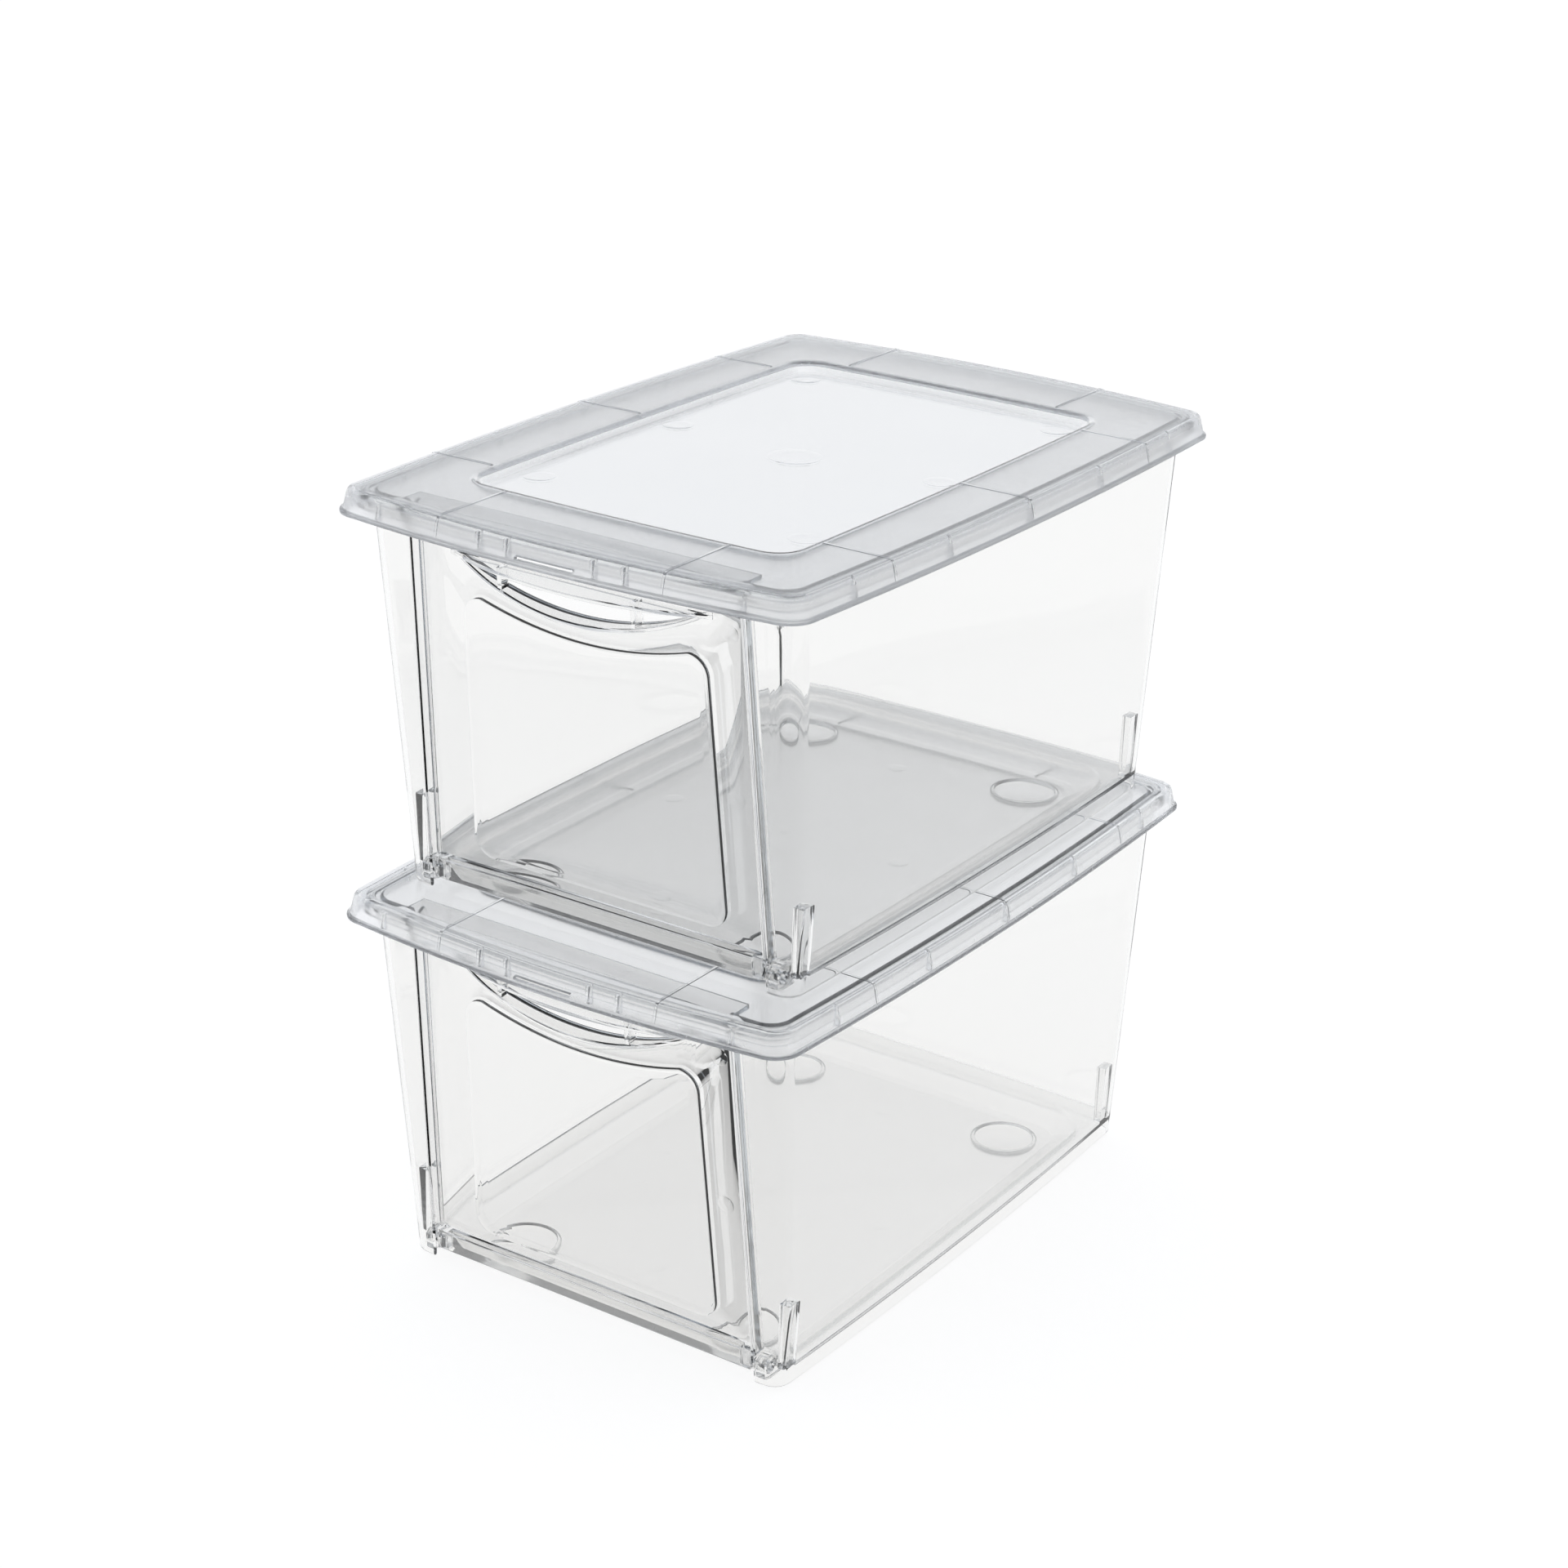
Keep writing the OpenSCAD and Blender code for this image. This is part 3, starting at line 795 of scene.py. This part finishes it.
def step_outline(shrink):
    """Outline of the door's stepped middle in X and Z: its top edge follows the finger pull."""
    low_x, top_x, foot, r, steps = 62.8 - shrink, 59.2 - shrink, 19.5 + shrink, 9 - shrink, 24

    def top_z(x):
        return 129.6 - shrink + 8.4 * (x / 52) ** 2

    ceiling = top_z(top_x - r)

    def arc(cx, cz, start, stop):
        angles = [math.radians(start + (stop - start) * i / 8) for i in range(9)]
        return [(cx + r * math.cos(a), cz + r * math.sin(a)) for a in angles]

    right = arc(low_x - r, foot + r, -90, 0)
    shoulder = arc(top_x - r, ceiling - r, 0, 82)
    across = [(top_x - r) * (1 - 2 * i / steps) for i in range(steps + 1)]
    top = [(x, top_z(x)) for x in across]
    left = [(-x, z) for x, z in reversed(right + shoulder)]
    return right + shoulder + top + left


def step_loft(name, rows):
    """A solid through the stepped middle's outline: rows give how far it shrinks, and its depth."""
    return loft(name, [[(x, y, z) for x, z in step_outline(shrink)] for shrink, y in rows])


def arch(door, x):
    """Height of the finger pull's lower lip, and its reach and the upper lip's, at x."""
    half = door.pull_half_x
    big = (half ** 2 + door.pull_rise ** 2) / (2 * door.pull_rise)
    low = door.pull_low + big - math.sqrt(big ** 2 - x ** 2)

    def reach(most):
        radius = (half ** 2 + most ** 2) / (2 * most)
        return max(math.sqrt(max(radius ** 2 - x ** 2, 0)) - (radius - most), 0.05)

    return low, reach(door.pull_reach), reach(door.lip_reach)


def lip(name, door, half_x, section, steps=56):
    """A lip that follows the finger pull: section gives the (y, z) points at each x."""
    xs = [half_x * math.sin(math.pi / 2 * (2 * i / steps - 1)) for i in range(steps + 1)]
    return loft(name, [[(x, y, z) for y, z in section(x)] for x in xs])


def lower_lip(door, x):
    """Section of the lower lip, which follows the arch."""
    low, reach, _ = arch(door, x)
    tip = min(0.5, reach * 0.3)
    return [(0.6, low), (-reach + tip, low), (-reach, low + 0.5), (-reach, low + 1.5),
            (-reach + tip, low + 2.0), (0.6, low + 2.0)]


def upper_lip(door, x):
    """Section of the upper lip, which is level."""
    reach = arch(door, x)[2]
    tip, z = min(0.4, reach * 0.3), door.lip_z
    return [(0.6, z), (-reach + tip, z), (-reach, z + 0.4), (-reach, z + 1.4), (-reach + tip, z + 1.8),
            (0.6, z + 1.8)]


class BIN_OT_make_doors(bpy.types.Operator):
    """Make the two clear doors with their finger pulls, stepped middles, sills and hinge pins"""

    bl_idname = "bin.make_doors"
    bl_label = "Make Doors"

    def execute(self, context):
        tub, door = in_mm(context.scene.bin_tub), in_mm(context.scene.bin_door)
        low, high, top = door.low_half_x, door.top_half_x, door.top
        plate = prism("door", [(-low, 14), (-low, 3), (low, 3), (low, 14), (high, top), (-high, top)],
                      0, door.plate, 0.35)
        step, thick = door.step, door.plate
        boss = [(-0.6, thick - 0.4), (-0.6, thick), (0.2, thick + step * 0.35), (1.2, thick + step * 0.85),
                (2.0, thick + step), (6.0, thick + step)]
        hollow = [(0.0, -0.6), (0.1, 0.05), (0.8, step * 0.3), (1.9, step * 0.85), (2.8, step), (6.0, step)]
        combine(plate, [step_loft("boss", boss)], "UNION")
        combine(plate, [step_loft("hollow", hollow), self.finger_gap(door)], "DIFFERENCE")
        parts = [lip("lower_lip", door, door.pull_half_x - 1, lambda x: lower_lip(door, x)),
                 lip("upper_lip", door, door.pull_half_x - 1, lambda x: upper_lip(door, x))]
        for x in PULL_STRUTS:
            height, reach, _ = arch(door, x)
            low_corner, high_corner = (x - 1.1, -reach + 0.4, height + 1.2), (x + 1.1, 0.4, door.lip_z + 0.4)
            parts.append(block("strut", low_corner, high_corner, 0.2))
        for way in (-1, 1):
            outline = [(way * (low - 1.6), 15), (way * low, 15), (way * high, top), (way * (high - 1.6), top)]
            parts.append(prism("edge", outline, -1.6, 0.5, 0.3))
        parts.append(self.sill())
        combine(plate, parts, "UNION")
        self.add_marks(plate)
        lean_forward(plate, tub, tub.foot_front + door.setback)
        combine(plate, self.pins(tub, door), "UNION")
        place_both(plate, "door", clear_plastic("door_plastic"))
        return {"FINISHED"}

    def finger_gap(self, door):
        """The opening for the fingers, between the two lips."""
        half, steps = door.pull_half_x - 4.5, 48
        xs = [half * (1 - 2 * i / steps) for i in range(steps + 1)]
        floor = [(x, arch(door, x)[0] + 2.0) for x in reversed(xs)]
        ceiling = [(x, max(door.lip_z - 1.6, arch(door, x)[0] + 2.2)) for x in xs]
        return prism("gap", floor + ceiling, -3, door.plate + 3)

    def sill(self):
        """The hollow box along the door's foot."""
        outer = block("sill", (-82.4, -4.6, 5.6), (82.4, 0.4, 15.6), 0.5)
        return combine(outer, [block("hollow", (-77, -3.2, 4), (77, 0.0, 13.8), 0.3)], "DIFFERENCE")

    def pins(self, tub, door):
        """The hinge pins with rounded-off ends, and a collar on each."""
        y, z, r = hinge_y(tub, door), door.hinge_z, door.pin
        right = [(r - 0.3, 3.2), (r, 2.9), (r, -4.5)]
        left = [(radius, -x) for radius, x in reversed(right)]
        collar = [(r + 0.9, -1.5), (r + 0.9, 1.5)]
        made = []
        for way, pin in ((-1, left), (1, right)):
            made.append(turned("pin", pin, (way * 86, y, z), "X"))
            made.append(turned("collar", collar, (way * 81.5, y, z), "X"))
        return made

    def add_marks(self, plate):
        """Very low ejector marks on the strips beside the stepped middle."""
        profile = [(4.0, 0.4), (4.0, -0.02), (3.6, -0.06), (2, -0.06)]
        upright = Matrix.Rotation(-math.pi / 2, 4, "X")
        marks = []
        for x, z in DOOR_MARKS:
            mark = turned("mark", profile, (0, 0, 0), steps=36)
            mark.data.transform(Matrix.Translation((x / MM, 0, z / MM)) @ upright)
            marks.append(mark)
        combine(plate, marks, "UNION")


# ---------------------------------------------------------------- stage

class BIN_OT_make_stage(bpy.types.Operator):
    """Make the pale floor, the soft white surroundings and the camera"""

    bl_idname = "bin.make_stage"
    bl_label = "Make Stage"

    def execute(self, context):
        scene = context.scene
        self.floor(scene)
        self.surroundings(scene)
        self.camera(scene)
        scene.view_settings.view_transform = "Standard"
        scene.cycles.max_bounces = 40
        scene.cycles.transmission_bounces = 40
        scene.cycles.glossy_bounces = 12
        scene.cycles.diffuse_bounces = 3
        scene.cycles.transparent_max_bounces = 16
        return {"FINISHED"}

    def floor(self, scene):
        """A pale sheet that glows softly, so the plastic is lit from below too."""
        bm = bmesh.new()
        bmesh.ops.create_grid(bm, x_segments=1, y_segments=1, size=40)
        bmesh.ops.translate(bm, vec=(0, 0, CAD_BOX[0].z - 0.0002), verts=bm.verts)
        floor = from_bmesh("stage_floor", bm)
        made = bpy.data.materials.new("stage_floor")
        made.use_nodes = True
        shader = made.node_tree.nodes["Principled BSDF"]
        shader.inputs["Base Color"].default_value = (*scene.bin_finish.floor_colour, 1)
        shader.inputs["Roughness"].default_value = 0.95
        shader.inputs["Specular IOR Level"].default_value = 0.1
        shader.inputs["Emission Color"].default_value = (1, 1, 1, 1)
        shader.inputs["Emission Strength"].default_value = scene.bin_finish.floor_glow
        floor.data.materials.append(made)

    def surroundings(self, scene):
        """A white room with a greyer ceiling and a dim side, which draws the plastic's edges."""
        world = bpy.data.worlds.new("studio")
        world.use_nodes = True
        nodes, links = world.node_tree.nodes, world.node_tree.links
        where = nodes.new("ShaderNodeTexCoord")

        def shade_along(direction, start, end, colour):
            along = nodes.new("ShaderNodeVectorMath")
            along.operation = "DOT_PRODUCT"
            along.inputs[1].default_value = direction
            ramp = nodes.new("ShaderNodeValToRGB")
            near, far = ramp.color_ramp.elements
            near.position, far.position = start, end
            near.color, far.color = (1, 1, 1, 1), (*colour, 1)
            links.new(where.outputs["Generated"], along.inputs[0])
            links.new(along.outputs["Value"], ramp.inputs["Fac"])
            return ramp.outputs["Color"]

        ceiling = shade_along((0, 0, 1), 0.10, 0.42, (0.60, 0.62, 0.65))
        dim_side = shade_along((0.388, -0.591, 0.707), 0.72, 0.95, (0.24, 0.28, 0.33))
        both = nodes.new("ShaderNodeVectorMath")
        both.operation = "MULTIPLY"
        links.new(ceiling, both.inputs[0])
        links.new(dim_side, both.inputs[1])
        links.new(both.outputs["Vector"], nodes["Background"].inputs["Color"])
        scene.world = world

    def camera(self, scene):
        """The camera, to the right of the front and a little above."""
        lens = bpy.data.cameras.new("camera")
        lens.lens, lens.sensor_width, lens.shift_y = 75.29, 36.0, -0.052
        around, above, roll = (math.radians(a) for a in (33.28, 20.71, 1.86))
        level = math.cos(above)
        away = Vector((math.sin(around) * level, -math.cos(around) * level, math.sin(above)))
        right = (-away).cross(Vector((0, 0, 1))).normalized()
        up = right.cross(-away)
        tilted_right = right * math.cos(roll) + up * math.sin(roll)
        tilted_up = up * math.cos(roll) - right * math.sin(roll)
        eye = bpy.data.objects.new("camera", lens)
        turn = Matrix((tilted_right, tilted_up, away)).transposed().to_4x4()
        middle = (CAD_BOX[0] + CAD_BOX[1]) / 2
        eye.matrix_world = Matrix.Translation(middle + Vector((0.7222, -1.1025, 0.5607))) @ turn
        scene.collection.objects.link(eye)
        scene.camera = eye


# ---------------------------------------------------------------- panel and registration

class BIN_PT_tools(bpy.types.Panel):
    """Sizes, finishes and makers of the stacked bins"""

    bl_label = "Stacked Bins"
    bl_idname = "BIN_PT_tools"
    bl_space_type = "VIEW_3D"
    bl_region_type = "UI"
    bl_category = "Bins"

    def draw(self, context):
        for maker in MAKERS:
            self.layout.operator(maker.bl_idname)
        for title, name in GROUPS.items():
            box = self.layout.box()
            box.label(text=title)
            group = getattr(context.scene, name)
            for field in group.__annotations__:
                box.prop(group, field)


GROUPS = {"Lid": "bin_lid", "Tub": "bin_tub", "Door": "bin_door", "Finish": "bin_finish"}
GROUP_TYPES = (BinLidSizes, BinTubSizes, BinDoorSizes, BinFinish)
MAKERS = (BIN_OT_make_tubs, BIN_OT_make_doors, BIN_OT_make_lids, BIN_OT_make_stage)


def register():
    for kind in (*GROUP_TYPES, *MAKERS, BIN_PT_tools):
        bpy.utils.register_class(kind)
    for name, kind in zip(GROUPS.values(), GROUP_TYPES):
        setattr(bpy.types.Scene, name, PointerProperty(type=kind))


def unregister():
    for name in GROUPS.values():
        delattr(bpy.types.Scene, name)
    for kind in reversed((*GROUP_TYPES, *MAKERS, BIN_PT_tools)):
        bpy.utils.unregister_class(kind)


def main():
    register()
    bpy.ops.bin.make_tubs()
    bpy.ops.bin.make_doors()
    bpy.ops.bin.make_lids()
    bpy.ops.bin.make_stage()


if __name__ == "__main__":
    main()
